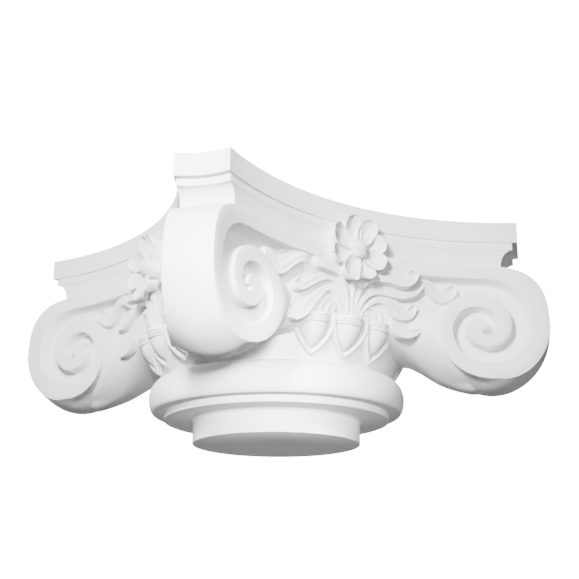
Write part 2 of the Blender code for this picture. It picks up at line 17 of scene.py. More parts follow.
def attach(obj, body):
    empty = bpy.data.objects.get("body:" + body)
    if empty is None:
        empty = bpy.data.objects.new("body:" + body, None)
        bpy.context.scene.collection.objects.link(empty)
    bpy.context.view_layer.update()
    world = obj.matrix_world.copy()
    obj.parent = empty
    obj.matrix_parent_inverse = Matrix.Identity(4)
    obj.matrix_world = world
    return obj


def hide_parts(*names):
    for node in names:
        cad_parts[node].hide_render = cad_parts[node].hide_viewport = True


bl_info = {
    "name": "Ionic Capital",
    "version": (1, 0, 0),
    "blender": (4, 5, 0),
    "location": "3D View > Sidebar > Capital",
    "description": "Builds the mouldings, volutes, leaves, cups and flowers of a cast column capital",
    "category": "Object",
}

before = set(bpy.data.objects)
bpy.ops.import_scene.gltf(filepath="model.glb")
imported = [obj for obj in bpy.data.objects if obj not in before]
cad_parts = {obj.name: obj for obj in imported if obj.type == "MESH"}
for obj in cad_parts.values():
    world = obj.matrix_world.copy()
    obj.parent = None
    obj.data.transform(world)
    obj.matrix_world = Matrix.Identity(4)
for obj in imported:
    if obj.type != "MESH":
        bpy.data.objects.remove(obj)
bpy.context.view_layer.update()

BODY = "root"
SOLID = "capital"

# Plan of the abacus
REACH = 0.301
CHAMFER_WIDTH = 0.0596
FACE_MIDDLE = 0.174

# Levels above the underside
SEAT_LEVEL = 0.0271
RING_LEVEL = 0.0349
BELL_LEVEL = 0.0735
BAND_TOP = 0.1962
FILLET_LEVEL = 0.2172
FASCIA_LEVEL = 0.2257
TOP_LEVEL = 0.2510

# Courses of the abacus: set-back on the face, set-back at the corner, and hollow of the corner cut
CAVETTO_FOOT = (0.0052, 0.0215, 0.002)
FILLET = (0.0024, 0.0068, 0.005)
FASCIA = (0.0, 0.0, 0.006)
TOP_INSET = (0.01, 0.01, 0.006)

# Turned foot
NECK_RADIUS = 0.1015
NECK_COVE = 0.003
SEAT_RADIUS = 0.1365
RING_RADIUS = 0.1555
RING_BELLY = 0.0175
RING_UNDERCUT = 0.007
BELL_FOOT_RADIUS = 0.139
BELL_TOP_RADIUS = 0.159
BELL_RISE = 0.0515
BELL_CURVE = 1.4
CORE_RADIUS = 0.03

# Volutes
EYE_ALONG = 0.157
EYE_LEVEL = 0.1216
VOLUTE_RADIUS = 0.0768
CROWN_HEIGHT = 0.0746
VOLUTE_SQUASH = 0.93
SHOULDER_FULLNESS = 3.0
CHANNEL_FULLNESS = 2.5
SPIRAL_SHRINK = 0.1686
SPIRAL_EASE = 0.00667
RIBBON_WIDTH = 0.0186
RIBBON_TAPER = 0.035
BAND_HEIGHT = 0.0156
CHANNEL_DEPTH = 0.0135
CHANNEL_END = 4.75
SPIRAL_END = 9.5
FLOOR_DEPTH = 0.0138
ROLL_SAG = 0.012
ROLL_SAG_SPAN = 0.036
BAND_CHEEK = 0.33
BAND_BACK = 0.03
RIBBON_EASE = 0.0008

FACE_TURNS = [math.radians(90.0 * turn) for turn in range(4)]


def face_arc():
    """Radius of the concave face in plan, and how far its centre lies from the axis."""
    half_span = (REACH - CHAMFER_WIDTH / 2.0) / math.sqrt(2.0)
    end_depth = (REACH + CHAMFER_WIDTH / 2.0) / math.sqrt(2.0)
    rise = end_depth - FACE_MIDDLE
    radius = (half_span ** 2 + rise ** 2) / (2.0 * rise)
    return radius, FACE_MIDDLE + radius


ARC_RADIUS, ARC_CENTRE = face_arc()


def on_face(along, out, height):
    """Places on the -Y face, from arrays of distances along it, out of it and up it."""
    along, out, height = np.broadcast_arrays(along, out, height)
    angle = along / ARC_RADIUS
    radius = ARC_RADIUS - out
    return np.stack([radius * np.sin(angle), radius * np.cos(angle) - ARC_CENTRE, height], axis=-1)


def rounded(points, radius, steps=3):
    """Profile with every inner corner eased by a short curve."""
    points = [np.asarray(point, float) for point in points]
    eased = [points[0]]
    for before, corner, after in zip(points, points[1:], points[2:]):
        back = before - corner
        ahead = after - corner
        near = min(radius, 0.45 * np.linalg.norm(back), 0.45 * np.linalg.norm(ahead))
        start = corner + back * near / np.linalg.norm(back)
        end = corner + ahead * near / np.linalg.norm(ahead)
        for step in range(steps + 1):
            share = step / steps
            eased.append(start * (1 - share) ** 2 + corner * 2 * share * (1 - share) + end * share ** 2)
    eased.append(points[-1])
    return np.array(eased)


def smooth_path(points, count):
    """Evenly parted points on a smooth curve through the given ones."""
    points = np.asarray(points, float)
    ends = np.vstack([2 * points[0] - points[1], points, 2 * points[-1] - points[-2]])
    spans = len(points) - 1
    place = np.minimum(np.linspace(0.0, spans, count + 1), spans - 1e-9)
    index = place.astype(int)
    t = (place - index)[:, None]
    a, b, c, d = (ends[index + step] for step in range(4))
    return 0.5 * (2 * b + (c - a) * t + (2 * a - 5 * b + 4 * c - d) * t ** 2
                  + (3 * b - a - 3 * c + d) * t ** 3)


def skin(shape, columns, rows, place):
    """Add a grid to a mesh and lay it where place(across, along) says, both shares from 0 to 1."""
    made = bmesh.ops.create_grid(shape, x_segments=columns, y_segments=rows, size=0.5)["verts"]
    flat = np.array([vert.co for vert in made])
    for vert, spot in zip(made, place(flat[:, 0] + 0.5, flat[:, 1] + 0.5)):
        vert.co = spot
    return made


def tube(shape, rings):
    """Add a closed tube through rings of points, an array of rings by points by three."""
    rings = np.asarray(rings, float)
    count = rings.shape[1]
    looped = np.concatenate([rings, rings[:, :1]], axis=1)

    def place(across, along):
        column = np.rint(across * count).astype(int)
        row = np.rint(along * (len(rings) - 1)).astype(int)
        return looped[row, column]

    part = bmesh.new()
    skin(part, count, len(rings) - 1, place)
    close(part)
    copy_in(shape, part)


def close(shape):
    """Merge seams, fill open ends and turn faces outwards."""
    bmesh.ops.remove_doubles(shape, verts=shape.verts, dist=0.000002)
    bmesh.ops.dissolve_degenerate(shape, edges=shape.edges, dist=0.000002)
    edges = [edge for edge in shape.edges if edge.is_boundary]
    bmesh.ops.holes_fill(shape, edges=edges, sides=0)
    bmesh.ops.recalc_face_normals(shape, faces=shape.faces)


def spin_profile(shape, profile, steps):
    """Spin a profile of radii and heights about the upright axis into a closed mesh."""
    verts = [shape.verts.new((radius, 0.0, height)) for radius, height in profile]
    edges = [shape.edges.new(pair) for pair in zip(verts, verts[1:])]
    bmesh.ops.spin(shape, geom=verts + edges, cent=(0, 0, 0), axis=(0, 0, 1), angle=math.tau,
                   steps=steps, use_merge=True, use_duplicate=False)
    close(shape)


def copy_in(shape, part):
    """Add a finished mesh to another and free it."""
    mesh = bpy.data.meshes.new("part")
    part.to_mesh(mesh)
    part.free()
    shape.from_mesh(mesh)
    bpy.data.meshes.remove(mesh)


def turned_copies(shape):
    """Repeat what a mesh holds about the axis, for the other three faces."""
    geometry = shape.verts[:] + shape.edges[:] + shape.faces[:]
    for turn in FACE_TURNS[1:]:
        copied = bmesh.ops.duplicate(shape, geom=geometry)["geom"]
        verts = [item for item in copied if isinstance(item, bmesh.types.BMVert)]
        bmesh.ops.rotate(shape, verts=verts, cent=(0, 0, 0), matrix=Matrix.Rotation(turn, 3, "Z"))


def mirrored_copy(shape):
    """Repeat what a mesh holds on the other half of the face."""
    geometry = shape.verts[:] + shape.edges[:] + shape.faces[:]
    copied = bmesh.ops.duplicate(shape, geom=geometry)["geom"]
    verts = [item for item in copied if isinstance(item, bmesh.types.BMVert)]
    bmesh.ops.scale(shape, verts=verts, vec=(-1.0, 1.0, 1.0))
    faces = [item for item in copied if isinstance(item, bmesh.types.BMFace)]
    bmesh.ops.reverse_faces(shape, faces=faces)


def finish_piece(name, shape, crease=38.0):
    """Make an object of a mesh, with its finish, and hang it on the frame."""
    mesh = bpy.data.meshes.new(name)
    shape.to_mesh(mesh)
    shape.free()
    mesh.shade_smooth()
    mesh.set_sharp_from_angle(angle=math.radians(crease))
    piece = bpy.data.objects.new(name, mesh)
    bpy.context.scene.collection.objects.link(piece)
    mesh.materials.append(white_cast())
    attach(piece, BODY)
    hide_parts(SOLID)
    return piece


# Finish


class Field:
    """A shader socket that can be used in sums."""

    def __init__(self, tree, socket):
        self.tree = tree
        self.socket = socket

    def combine(self, operation, first, second):
        """Math node of two values or fields."""
        return Tree(self.tree).node("ShaderNodeMath", {"operation": operation}, {0: first, 1: second})

    def __add__(self, other):
        return self.combine("ADD", self, other)

    def __mul__(self, other):
        return self.combine("MULTIPLY", self, other)


class Tree:
    """Adds nodes to a material or world."""

    def __init__(self, tree):
        self.tree = tree

    def node(self, kind, settings, inputs, output=0):
        """Node of a type with its settings and the values or links of its sockets."""
        made = self.tree.nodes.new(kind)
        for name, value in settings.items():
            setattr(made, name, value)
        for name, value in inputs.items():
            if isinstance(value, Field):
                self.tree.links.new(value.socket, made.inputs[name])
            else:
                made.inputs[name].default_value = value
        return Field(self.tree, made.outputs[output])


def noise(tree, place, scale, detail, roughness):
    """Noise of a scale, from 0 to 1."""
    inputs = {"Vector": place, "Scale": scale, "Detail": detail, "Roughness": roughness}
    return tree.node("ShaderNodeTexNoise", {}, inputs)


def white_cast():
    """Matt white primer on a cast surface: almost even, with faint clouding and a fine tooth."""
    known = bpy.data.materials.get("white_cast_finish")
    if known:
        return known
    look = bpy.context.scene.capital_finish
    material = bpy.data.materials.new("white_cast_finish")
    material.use_nodes = True
    shader = material.node_tree.nodes["Principled BSDF"]
    tree = Tree(material.node_tree)
    place = tree.node("ShaderNodeTexCoord", {}, {}, "Object")
    cloud = noise(tree, place, scale=14.0, detail=4.0, roughness=0.6)
    tooth = noise(tree, place, scale=900.0, detail=3.0, roughness=0.6)
    wave = noise(tree, place, scale=60.0, detail=2.0, roughness=0.5)
    pale = (*look.colour, 1.0)
    shade = tuple(channel * look.clouding for channel in look.colour) + (1.0,)
    tint = tree.node("ShaderNodeMix", {"data_type": "RGBA"}, {"Factor": cloud, "A": pale, "B": shade}, 2)
    rough = cloud * 0.10 + (look.roughness - 0.05)
    relief = tooth * 0.25 + wave * 0.75
    bump = tree.node("ShaderNodeBump", {}, {"Strength": 0.10, "Distance": 0.0006, "Height": relief})
    links = material.node_tree.links
    links.new(tint.socket, shader.inputs["Base Color"])
    links.new(rough.socket, shader.inputs["Roughness"])
    links.new(bump.socket, shader.inputs["Normal"])
    return material


# Abacus


def arc_end(back, reach):
    """Angle at which a face set back by a depth meets a corner cut at a reach."""
    ratio = (math.sqrt(2.0) * reach - ARC_CENTRE) / ((ARC_RADIUS + back) * math.sqrt(2.0))
    return math.radians(45.0) + math.asin(max(-1.0, min(1.0, ratio)))


def plan_side(back, reach, hollow, face_steps=72, cut_steps=8):
    """Plan of one face and the hollow corner cut that follows it."""
    end = arc_end(back, reach)
    angle = np.linspace(-end, end, face_steps + 1)
    radius = ARC_RADIUS + back
    face = np.stack([radius * np.sin(angle), radius * np.cos(angle) - ARC_CENTRE], axis=-1)
    start = face[-1]
    stop = np.array([-start[1], -start[0]])
    share = np.linspace(0.0, 1.0, cut_steps + 1)[1:-1, None]
    inward = np.array([-1.0, 1.0]) / math.sqrt(2.0)
    cut = start * (1 - share) + stop * share + inward * hollow * 4.0 * share * (1 - share)
    return np.vstack([face, cut])


def plan_ring(height, back, corner_back, hollow):
    """Closed plan of all four faces at a height."""
    side = plan_side(back, REACH - corner_back, hollow)
    ring = []
    for turn in FACE_TURNS:
        spin = np.array([[math.cos(turn), -math.sin(turn)], [math.sin(turn), math.cos(turn)]])
        ring.append(side @ spin.T)
    ring = np.vstack(ring)
    return np.column_stack([ring, np.full(len(ring), height)])


def abacus_profile():
    """Courses of the abacus from the band upwards: height, set-backs and hollow, with eased corners."""
    courses = [(BAND_TOP - 0.01, *CAVETTO_FOOT)]
    for angle in np.radians(np.linspace(0.0, 90.0, 9)):
        share = math.cos(angle)
        setbacks = [foot * share + top * (1.0 - share) for foot, top in zip(CAVETTO_FOOT, FILLET)]
        courses.append((BAND_TOP + (FILLET_LEVEL - BAND_TOP) * math.sin(angle), *setbacks))
    courses += [(FASCIA_LEVEL, *FILLET), (FASCIA_LEVEL, *FASCIA)]
    courses += [(TOP_LEVEL, *FASCIA), (TOP_LEVEL, *TOP_INSET)]
    return rounded(courses, 0.0008)


def build_abacus():
    """Fascia, fillet and cavetto with hollow corner cuts."""
    shape = bmesh.new()
    tube(shape, [plan_ring(*course) for course in abacus_profile()])
    return finish_piece("abacus", shape)


# Turned foot


def foot_profile():
    """Profile of bell, ring, seat and neck, from the top down: radius and height."""
    hidden_top = BAND_TOP - 0.006
    points = [(CORE_RADIUS, hidden_top), (BELL_TOP_RADIUS, hidden_top)]
    for step in range(15):
        share = step / 14
        radius = BELL_TOP_RADIUS + (BELL_FOOT_RADIUS - BELL_TOP_RADIUS) * share ** BELL_CURVE
        points.append((radius, BELL_LEVEL + BELL_RISE * (1.0 - share)))
    belly = RING_LEVEL + RING_BELLY
    for step in range(1, 13):
        angle = math.radians(90.0) * (1.0 - step / 12)
        radius = BELL_FOOT_RADIUS + (RING_RADIUS - BELL_FOOT_RADIUS) * math.cos(angle)
        points.append((radius, belly + (BELL_LEVEL - belly) * math.sin(angle)))
    for step in range(1, 13):
        angle = math.radians(90.0) * step / 12
        radius = RING_RADIUS - RING_UNDERCUT * (1.0 - math.cos(angle))
        points.append((radius, belly - RING_BELLY * math.sin(angle)))
    points += [(SEAT_RADIUS, RING_LEVEL), (SEAT_RADIUS, SEAT_LEVEL), (NECK_RADIUS + NECK_COVE, SEAT_LEVEL),
               (NECK_RADIUS, SEAT_LEVEL - NECK_COVE), (NECK_RADIUS, 0.0), (CORE_RADIUS, 0.0)]
    return rounded(points, 0.0009, 2)


def build_foot():
    """Bell, ring, seat and neck, spun from one profile."""
    shape = bmesh.new()
    spin_profile(shape, foot_profile(), 160)
    return finish_piece("bell_and_ring", shape)


# Volutes


def shoulder(quarter, across, up, fullness):
    """Radius of the rounded shoulder between the band and the volute's outermost point."""
    angle = np.radians(-90.0) * quarter
    level = np.abs(np.cos(angle) / across) ** fullness
    upright = np.abs(np.sin(angle) / up) ** fullness
    return (level + upright) ** (-1.0 / fullness)


def spiral_radius(quarter):
    """Radius of the ribbon's outer edge, in quarter turns past the outermost point."""
    turned = VOLUTE_RADIUS * (1.0 - SPIRAL_SHRINK * quarter + SPIRAL_EASE * quarter ** 2)
    early = shoulder(np.minimum(quarter, 0.0), VOLUTE_RADIUS, CROWN_HEIGHT, SHOULDER_FULLNESS)
    return np.where(quarter < 0.0, early, np.where(quarter > SPIRAL_END, 0.0, np.maximum(turned, 0.0)))


def channel_radius(quarter):
    """Radius of the ribbon's inner edge."""
    early = shoulder(np.minimum(quarter, 0.0), VOLUTE_RADIUS - RIBBON_WIDTH, CROWN_HEIGHT - BAND_HEIGHT,
                     CHANNEL_FULLNESS)
    width = RIBBON_WIDTH * (1.0 - RIBBON_TAPER * quarter)
    return np.where(quarter < 0.0, early, np.maximum(spiral_radius(quarter) - width, 0.0))


def spiral_point(quarter, radius):
    """Place on the face, along and up, of points of the right-hand volute."""
    angle = np.radians(90.0) * quarter
    squash = np.where(quarter > 0.0, VOLUTE_SQUASH, 1.0)
    along = EYE_ALONG + radius * np.cos(angle)
    return np.stack([along, EYE_LEVEL - squash * radius * np.sin(angle)], axis=-1)


# Where the mesh has its lines, as shares of the way across the ribbon and then the channel
RIBBON_SHARES = (0.0, 0.014, 0.045, 0.5, 0.92, 1.0)
CHANNEL_SHARES = (0.03, 0.07, 0.12, 0.17, 0.22, 0.27, 0.33, 0.4, 0.5, 0.62, 0.75, 0.86,
                  0.925, 0.955, 0.975, 0.99, 1.0)
OUTER_CHEEK = 0.27
INNER_CHEEK = 0.06
STEPS_A_QUARTER = 16
VOLUTE_ROWS = int(round((SPIRAL_END + 1.0) * STEPS_A_QUARTER))
VOLUTE_COLUMNS = len(RIBBON_SHARES) + len(CHANNEL_SHARES) - 1


def channel_depth(share):
    """Depth of the channel across its width: a soft outer cheek, a flat floor and a steep inner cheek."""
    outer = np.clip(share / OUTER_CHEEK, 0.0, 1.0)
    inner = np.clip((1.0 - share) / INNER_CHEEK, 0.0, 1.0)
    return outer ** 2 * (3.0 - 2.0 * outer) * np.sqrt(1.0 - (1.0 - inner) ** 2)


def edge_round(quarter):
    """How far the ribbon's outer edge is eased, fading out at the eye."""
    return RIBBON_EASE * np.clip((8.9 - quarter) / 0.3, 0.0, 1.0)


def channel_share(column):
    """Share of the way across the channel at a column of the mesh."""
    return np.array(CHANNEL_SHARES)[np.clip(column - len(RIBBON_SHARES), 0, len(CHANNEL_SHARES) - 1)]


def volute_plan(column, quarter):
    """Places along and up: over the ribbon, then over the channel to the next turn's outer edge."""
    outer = spiral_point(quarter, spiral_radius(quarter))
    cheek = spiral_point(quarter, channel_radius(quarter))
    inner = spiral_point(quarter + 4.0, spiral_radius(quarter + 4.0))
    flat = quarter > CHANNEL_END + 0.3
    cheek = np.where(flat[:, None], outer * 0.4 + inner * 0.6, cheek)
    ribbon_share = np.array(RIBBON_SHARES)[np.minimum(column, len(RIBBON_SHARES) - 1)]
    on_ribbon = column < len(RIBBON_SHARES)
    return np.where(on_ribbon[:, None], outer + (cheek - outer) * ribbon_share[:, None],
                    cheek + (inner - cheek) * channel_share(column)[:, None])


def volute_relief(column, quarter):
    """How far the ribbon and the channel stand out of the face; the channel ends in a round."""
    past = np.clip((quarter - (CHANNEL_END - 0.25)) / 0.5, 0.0, 1.0)
    narrow = np.sqrt(np.maximum(1.0 - past ** 2, 0.0))
    squeezed = 0.5 + (channel_share(column) - 0.5) / np.maximum(narrow, 0.001)
    depth = CHANNEL_DEPTH * narrow * channel_depth(np.clip(squeezed, 0.0, 1.0))
    ease = edge_round(quarter)
    out = np.where(column < len(RIBBON_SHARES), 0.0, -depth)
    out = np.where(column == 0, -ease, out)
    out = np.where(column == 1, -0.3 * ease, out)
    return np.where(column == VOLUTE_COLUMNS, -edge_round(quarter + 4.0), out)


def volute_face(across, along):
    """Places of one volute's face: across from the ribbon's outer edge to the next turn, and along."""
    quarter = -1.0 + np.rint(along * VOLUTE_ROWS) * (SPIRAL_END + 1.0) / VOLUTE_ROWS
    column = np.rint(across * VOLUTE_COLUMNS).astype(int)
    spot = volute_plan(column, quarter)
    return on_face(spot[:, 0], volute_relief(column, quarter), spot[:, 1])


def across_corner(spots):
    """Mirror image of places about the corner's diagonal."""
    return np.stack([-spots[:, 1], -spots[:, 0], spots[:, 2]], axis=-1)


def roll_skin(across, along):
    """Places of the roll between its two faces, sagging in the middle of its underside."""
    quarter = -1.0 + np.rint(along * 4 * STEPS_A_QUARTER) / STEPS_A_QUARTER
    edge = spiral_point(quarter, spiral_radius(quarter))
    near = on_face(edge[:, 0], -edge_round(quarter), edge[:, 1])
    far = across_corner(near)
    side = np.linalg.norm(far - near, axis=1) * (across - 0.5)
    middle = np.maximum(1.0 - (side / ROLL_SAG_SPAN) ** 2, 0.0)
    underside = np.maximum(np.sin(math.radians(90.0) * quarter), 0.0)
    spots = near + (far - near) * across[:, None]
    spots[:, 2] -= ROLL_SAG * middle * underside
    return spots


def add_roll(shape):
    """One corner's roll with a volute on both faces, closed."""
    part = bmesh.new()
    skin(part, VOLUTE_COLUMNS, VOLUTE_ROWS, volute_face)
    skin(part, VOLUTE_COLUMNS, VOLUTE_ROWS, lambda across, along: across_corner(volute_face(across, along)))
    skin(part, 12, 4 * STEPS_A_QUARTER, roll_skin)
    close(part)
    copy_in(shape, part)


def band_ring(along):
    """Section of the plain band at a place along the face."""
    foot = BAND_TOP - BAND_HEIGHT
    channel_width = CROWN_HEIGHT - BAND_HEIGHT - float(spiral_radius(np.array(3.0))) * VOLUTE_SQUASH
    section = [(BAND_TOP, -BAND_BACK), (BAND_TOP, -RIBBON_EASE), (BAND_TOP - 0.0002, -0.0002),
               (BAND_TOP - RIBBON_EASE, 0.0), (foot, 0.0)]
    for share in CHANNEL_SHARES:
        if share <= BAND_CHEEK:
            depth = CHANNEL_DEPTH * float(channel_depth(np.array(share)))
            section.append((foot - channel_width * share, -depth))
    section.append((foot - channel_width * BAND_CHEEK, -BAND_BACK))
    heights, outs = np.array(section).T
    return on_face(along, outs, heights)


def add_band(shape):
    """Plain band between two volutes of a face."""
    tube(shape, [band_ring(along) for along in np.linspace(-EYE_ALONG, EYE_ALONG, 73)])


def arm_width(reach, depth):
    """Half width of an arm across its diagonal, where the faces are sunk by a depth."""
    along = np.linspace(0.0, 0.24, 400)
    spots = on_face(along, -depth, 0.0)
    reaches = (spots[:, 0] - spots[:, 1]) / math.sqrt(2.0)
    sides = (-spots[:, 0] - spots[:, 1]) / math.sqrt(2.0)
    return float(np.interp(reach, reaches, sides))


def soft_step(value):
    """Smooth rise from nought to one."""
    share = np.clip(value, 0.0, 1.0)
    return share * share * (3.0 - 2.0 * share)


def volute_edge_reach(level):
    """Reach of a volute's edge on the side of the bell, at a height."""
    quarter = np.linspace(1.0, 2.5, 80)
    edge = spiral_point(quarter, spiral_radius(quarter))
    spots = on_face(edge[:, 0], 0.0, edge[:, 1])
    return np.interp(level, edge[:, 1], (spots[:, 0] - spots[:, 1]) / math.sqrt(2.0))


# Stations of the arm's keel out along its diagonal: reach and height
ARM_UNDERSIDE = ((0.109, 0.0985), (0.153, 0.0938), (0.172, 0.0845), (0.183, 0.0766), (0.199, 0.0655),
                 (0.216, 0.0580), (0.233, 0.0529), (0.243, 0.0524), (0.265, 0.0560))
ARM_SHOULDER = 0.128
ARM_BLEND_TOP = 0.150
ARM_FULLNESS = 2.3
ARM_ENDS = (0.112, 0.252)
# The swell beside a volute: how far before its edge it starts and over what length, how far past the edge
# it fades and over what length, and how far behind the face it stays
SWELL_LEAD = 0.036
SWELL_SPAN = 0.038
FADE_LAG = 0.006
FADE_SPAN = 0.007
SWELL_DEPTH = 0.0012


def arm_side(reach, level):
    """Half width of an arm at a reach and a height: it swells to meet the edge of the volute."""
    deep = arm_width(reach, FLOOR_DEPTH)
    flush = arm_width(reach, SWELL_DEPTH)
    past = reach - volute_edge_reach(level)
    swell = soft_step((past + SWELL_LEAD) / SWELL_SPAN) * (1.0 - soft_step((past - FADE_LAG) / FADE_SPAN))
    low = soft_step((ARM_BLEND_TOP - level) / (ARM_BLEND_TOP - ARM_SHOULDER))
    return deep + (flush - deep) * swell * low


def arm_ring(reach):
    """Section of an arm across the corner's diagonal: a trough with a round underside."""
    path = smooth_path(ARM_UNDERSIDE, 96)
    foot = np.interp(reach, path[:, 0], path[:, 1])
    points = [(arm_side(reach, BAND_TOP), BAND_TOP - 0.008)]
    for level in np.linspace(ARM_BLEND_TOP, ARM_SHOULDER, 9)[:-1]:
        points.append((arm_side(reach, level), level))
    for angle in np.radians(np.linspace(0.0, 90.0, 25)):
        level = ARM_SHOULDER - (ARM_SHOULDER - foot) * math.sin(angle) ** (2.0 / ARM_FULLNESS)
        points.append((arm_side(reach, level) * max(0.0, math.cos(angle)) ** (2.0 / ARM_FULLNESS), level))
    points += [(-side, height) for side, height in reversed(points[:-1])]
    across = np.array([1.0, 1.0, 0.0]) / math.sqrt(2.0)
    outward = np.array([1.0, -1.0, 0.0]) / math.sqrt(2.0)
    return [outward * reach + across * side + np.array([0.0, 0.0, height]) for side, height in points]


def add_arm(shape):
    """Block that carries a roll out from the bell, with a round underside."""
    tube(shape, [arm_ring(reach) for reach in np.linspace(*ARM_ENDS, 85)])


def build_volutes():
    """Rolls, volutes, arms and bands."""
    shape = bmesh.new()
    add_roll(shape)
    turned_copies(shape)
    finish_piece("volutes", shape, 30.0)
    shape = bmesh.new()
    add_arm(shape)
    add_band(shape)
    turned_copies(shape)
    return finish_piece("arms_and_bands", shape, 30.0)


# Leaves

# Stations along each leaf, in millimetres: along the face, up, out of the face, and width
LEAVES = {
    "upper_right": ((2.5, 120, -13, 3.5), (3, 137, -11, 5), (7, 152, -9, 7.5), (17, 167, -5.5, 13),
                    (31, 173, -3, 17.5), (47, 173, -1.5, 19), (61, 170, -0.5, 18), (70, 173, 0.5, 16),
                    (76, 181, 2, 10)),
    "long_right": ((5, 120, -14.5, 3), (9.5, 137, -12, 6.5), (17, 150, -11, 12), (28, 158, -10.5, 15),
                   (42, 159, -10, 15.5), (58, 156, -9.5, 13), (69, 157, -9, 12), (79, 162, -9, 12.5),
                   (90, 172, -9, 10), (99, 168, -10, 15), (108, 160, -10.5, 18), (119, 161, -10.5, 16),
                   (129, 171, -10, 12)),
    "drooping_right": ((8.5, 119, -15, 3), (15, 133, -13, 5), (24, 142, -12.5, 8), (36, 147, -12.5, 10),
                       (48, 146, -12.5, 17), (56, 137, -13, 22), (65, 132, -13, 14), (74, 135, -12.5, 11),
                       (79, 145, -11.5, 8)),
    "pointed_right": ((11, 118, -15.5, 2.5), (18, 133, -13.5, 3.5), (27, 141, -14, 4),
                      (36, 144.5, -14.5, 4.5), (45, 143, -15, 4.5), (51, 136, -15, 5), (54, 127, -15, 9),
                      (58, 117.5, -14.5, 14), (66, 111.5, -13.5, 14), (77, 112, -12.5, 9),
                      (88, 118, -11.5, 2)),
    "upper_left": ((-3.5, 120, -13, 4), (-5, 137, -11, 5.5), (-8.5, 152, -8.5, 7.5),
                   (-17, 167, -5.5, 12.5), (-28, 172.5, -3.5, 16.5), (-40, 174.5, -2, 18.5),
                   (-52, 175, -1.5, 17.5), (-58, 176, -3, 9)),
    "wave_left": ((-46, 163, -10.5, 10), (-53, 165.5, -9, 13), (-60, 171, -7.5, 18),
                  (-68, 177, -5.5, 19.5), (-77, 174.5, -5.5, 16), (-86, 169.5, -7, 15.5),
                  (-95, 162, -9, 17.5), (-104, 156, -10.5, 18), (-116, 161, -10.5, 16),
                  (-128, 171, -10, 12)),
    "middle_left": ((-6, 120, -14.5, 3.5), (-9, 137, -12, 4.5), (-13.5, 151, -10.5, 6),
                    (-25, 162, -10, 10.5), (-37, 163, -9.5, 13), (-48, 159.5, -9, 15.5),
                    (-60, 152.5, -8.5, 16.5), (-69, 147, -8.5, 16.5), (-77, 143, -8, 14),
                    (-84, 144, -8, 7)),
    "lower_left": ((-9, 119, -15, 3), (-13, 133, -13, 6), (-18.5, 145, -12, 9), (-29, 152, -12.5, 11),
                   (-39, 149, -13, 14), (-48, 142, -13, 18.5), (-56, 134, -13.5, 22),
                   (-63, 126, -13.5, 25), (-71, 119, -13.5, 25), (-79, 113, -13.5, 20),
                   (-86, 107, -13.5, 10)),
}
# Thin stems that rise from the cup on the right and lean to the middle; the left half has their mirror image
STEMS = {
    "inner": ((17, 128, -13, 4), (22, 130, -13, 7), (26, 128, -13.5, 10), (28, 122, -15, 10),
              (29, 116, -18, 9)),
    "mid": ((20, 136, -13, 3), (28, 137, -13.5, 5), (34, 134, -14, 6), (37, 126, -15.5, 6),
            (38, 116, -18, 6)),
    "outer": ((23, 141, -13, 3), (33, 142, -14, 5), (40, 138, -15, 7), (44.5, 129, -17, 8),
              (46, 116, -19.5, 8)),
}
LEAF_COLUMNS = 19
LEAF_ROOT = 0.005
LEAF_THIN = 0.003
STEM_RISE = 0.8
BANK_WIDTH = 0.24
RIB_RISE = 0.11
# Shares of a leaf's length where its tip starts to cup, over how much of it, and where its round end starts
TIP_START = 0.72
TIP_SPAN = 0.25
ROUND_START = 0.93


def with_root(along, out, up, root, taper=1.0):
    """Section across a carved strip, closed by the two ends of its root, which may be narrower."""
    along = np.append(along, along[[-1, 0]] * taper)
    up = np.append(up, up[[-1, 0]] * taper)
    return along, np.append(out, [root, root]), up


def square_to(along, up):
    """Unit vectors on the face that are square to a path and point to its left."""
    heading = np.stack([np.gradient(along), np.gradient(up)], axis=-1)
    return np.stack([-heading[:, 1], heading[:, 0]], axis=-1) / np.linalg.norm(heading, axis=1)[:, None]


def blade_lift(across, flutes, tip):
    """How far a leaf's back stands out, as a share: steep at its lower edge, falling to its upper."""
    bank = np.clip((across + 1.0) / BANK_WIDTH, 0.0, 1.0)
    fall = np.clip((across + 1.0 - BANK_WIDTH) / (2.0 - BANK_WIDTH), 0.0, 1.0)
    ribs = RIB_RISE * (1.0 - np.cos(math.tau * flutes * (across + 1.0) / 2.0)) * (1.0 - fall ** 3)
    shingle = np.sqrt(1.0 - (1.0 - bank) ** 2) * (1.0 - 0.66 * fall ** 1.25) - ribs * bank
    cupped = 0.42 + 0.58 * np.abs(across) ** 2.2
    return shingle * (1.0 - tip) + cupped * tip


def leaf_rings(stations, flutes, rise, rows):
    """Sections along a leaf: its back stands out most at its lower edge, and its sides go into the floor."""
    along, level, out, width = smooth_path(np.array(stations, float) / 1000.0, rows).T
    hand = 1.0 if along[-1] + along[0] > 0.0 else -1.0
    normal = hand * square_to(along, level)
    share = np.linspace(0.0, 1.0, rows + 1)
    tip = np.clip((share - TIP_START) / TIP_SPAN, 0.0, 1.0) ** 1.5
    ending = np.clip((share - ROUND_START) / (1.0 - ROUND_START), 0.0, 1.0)
    half = width / 2.0 * np.sqrt(np.maximum(1.0 - ending ** 2, 0.004))
    across = np.linspace(-1.0, 1.0, LEAF_COLUMNS)
    rings = []
    for index in range(rows + 1):
        lift = rise * blade_lift(across, flutes, tip[index]) * min(1.0, half[index] / LEAF_THIN)
        side = across * half[index]
        root = min(out[index], -FLOOR_DEPTH) - LEAF_ROOT
        section = with_root(along[index] + normal[index, 0] * side, out[index] + lift,
                            level[index] + normal[index, 1] * side, root)
        rings.append(on_face(*section))
    return rings


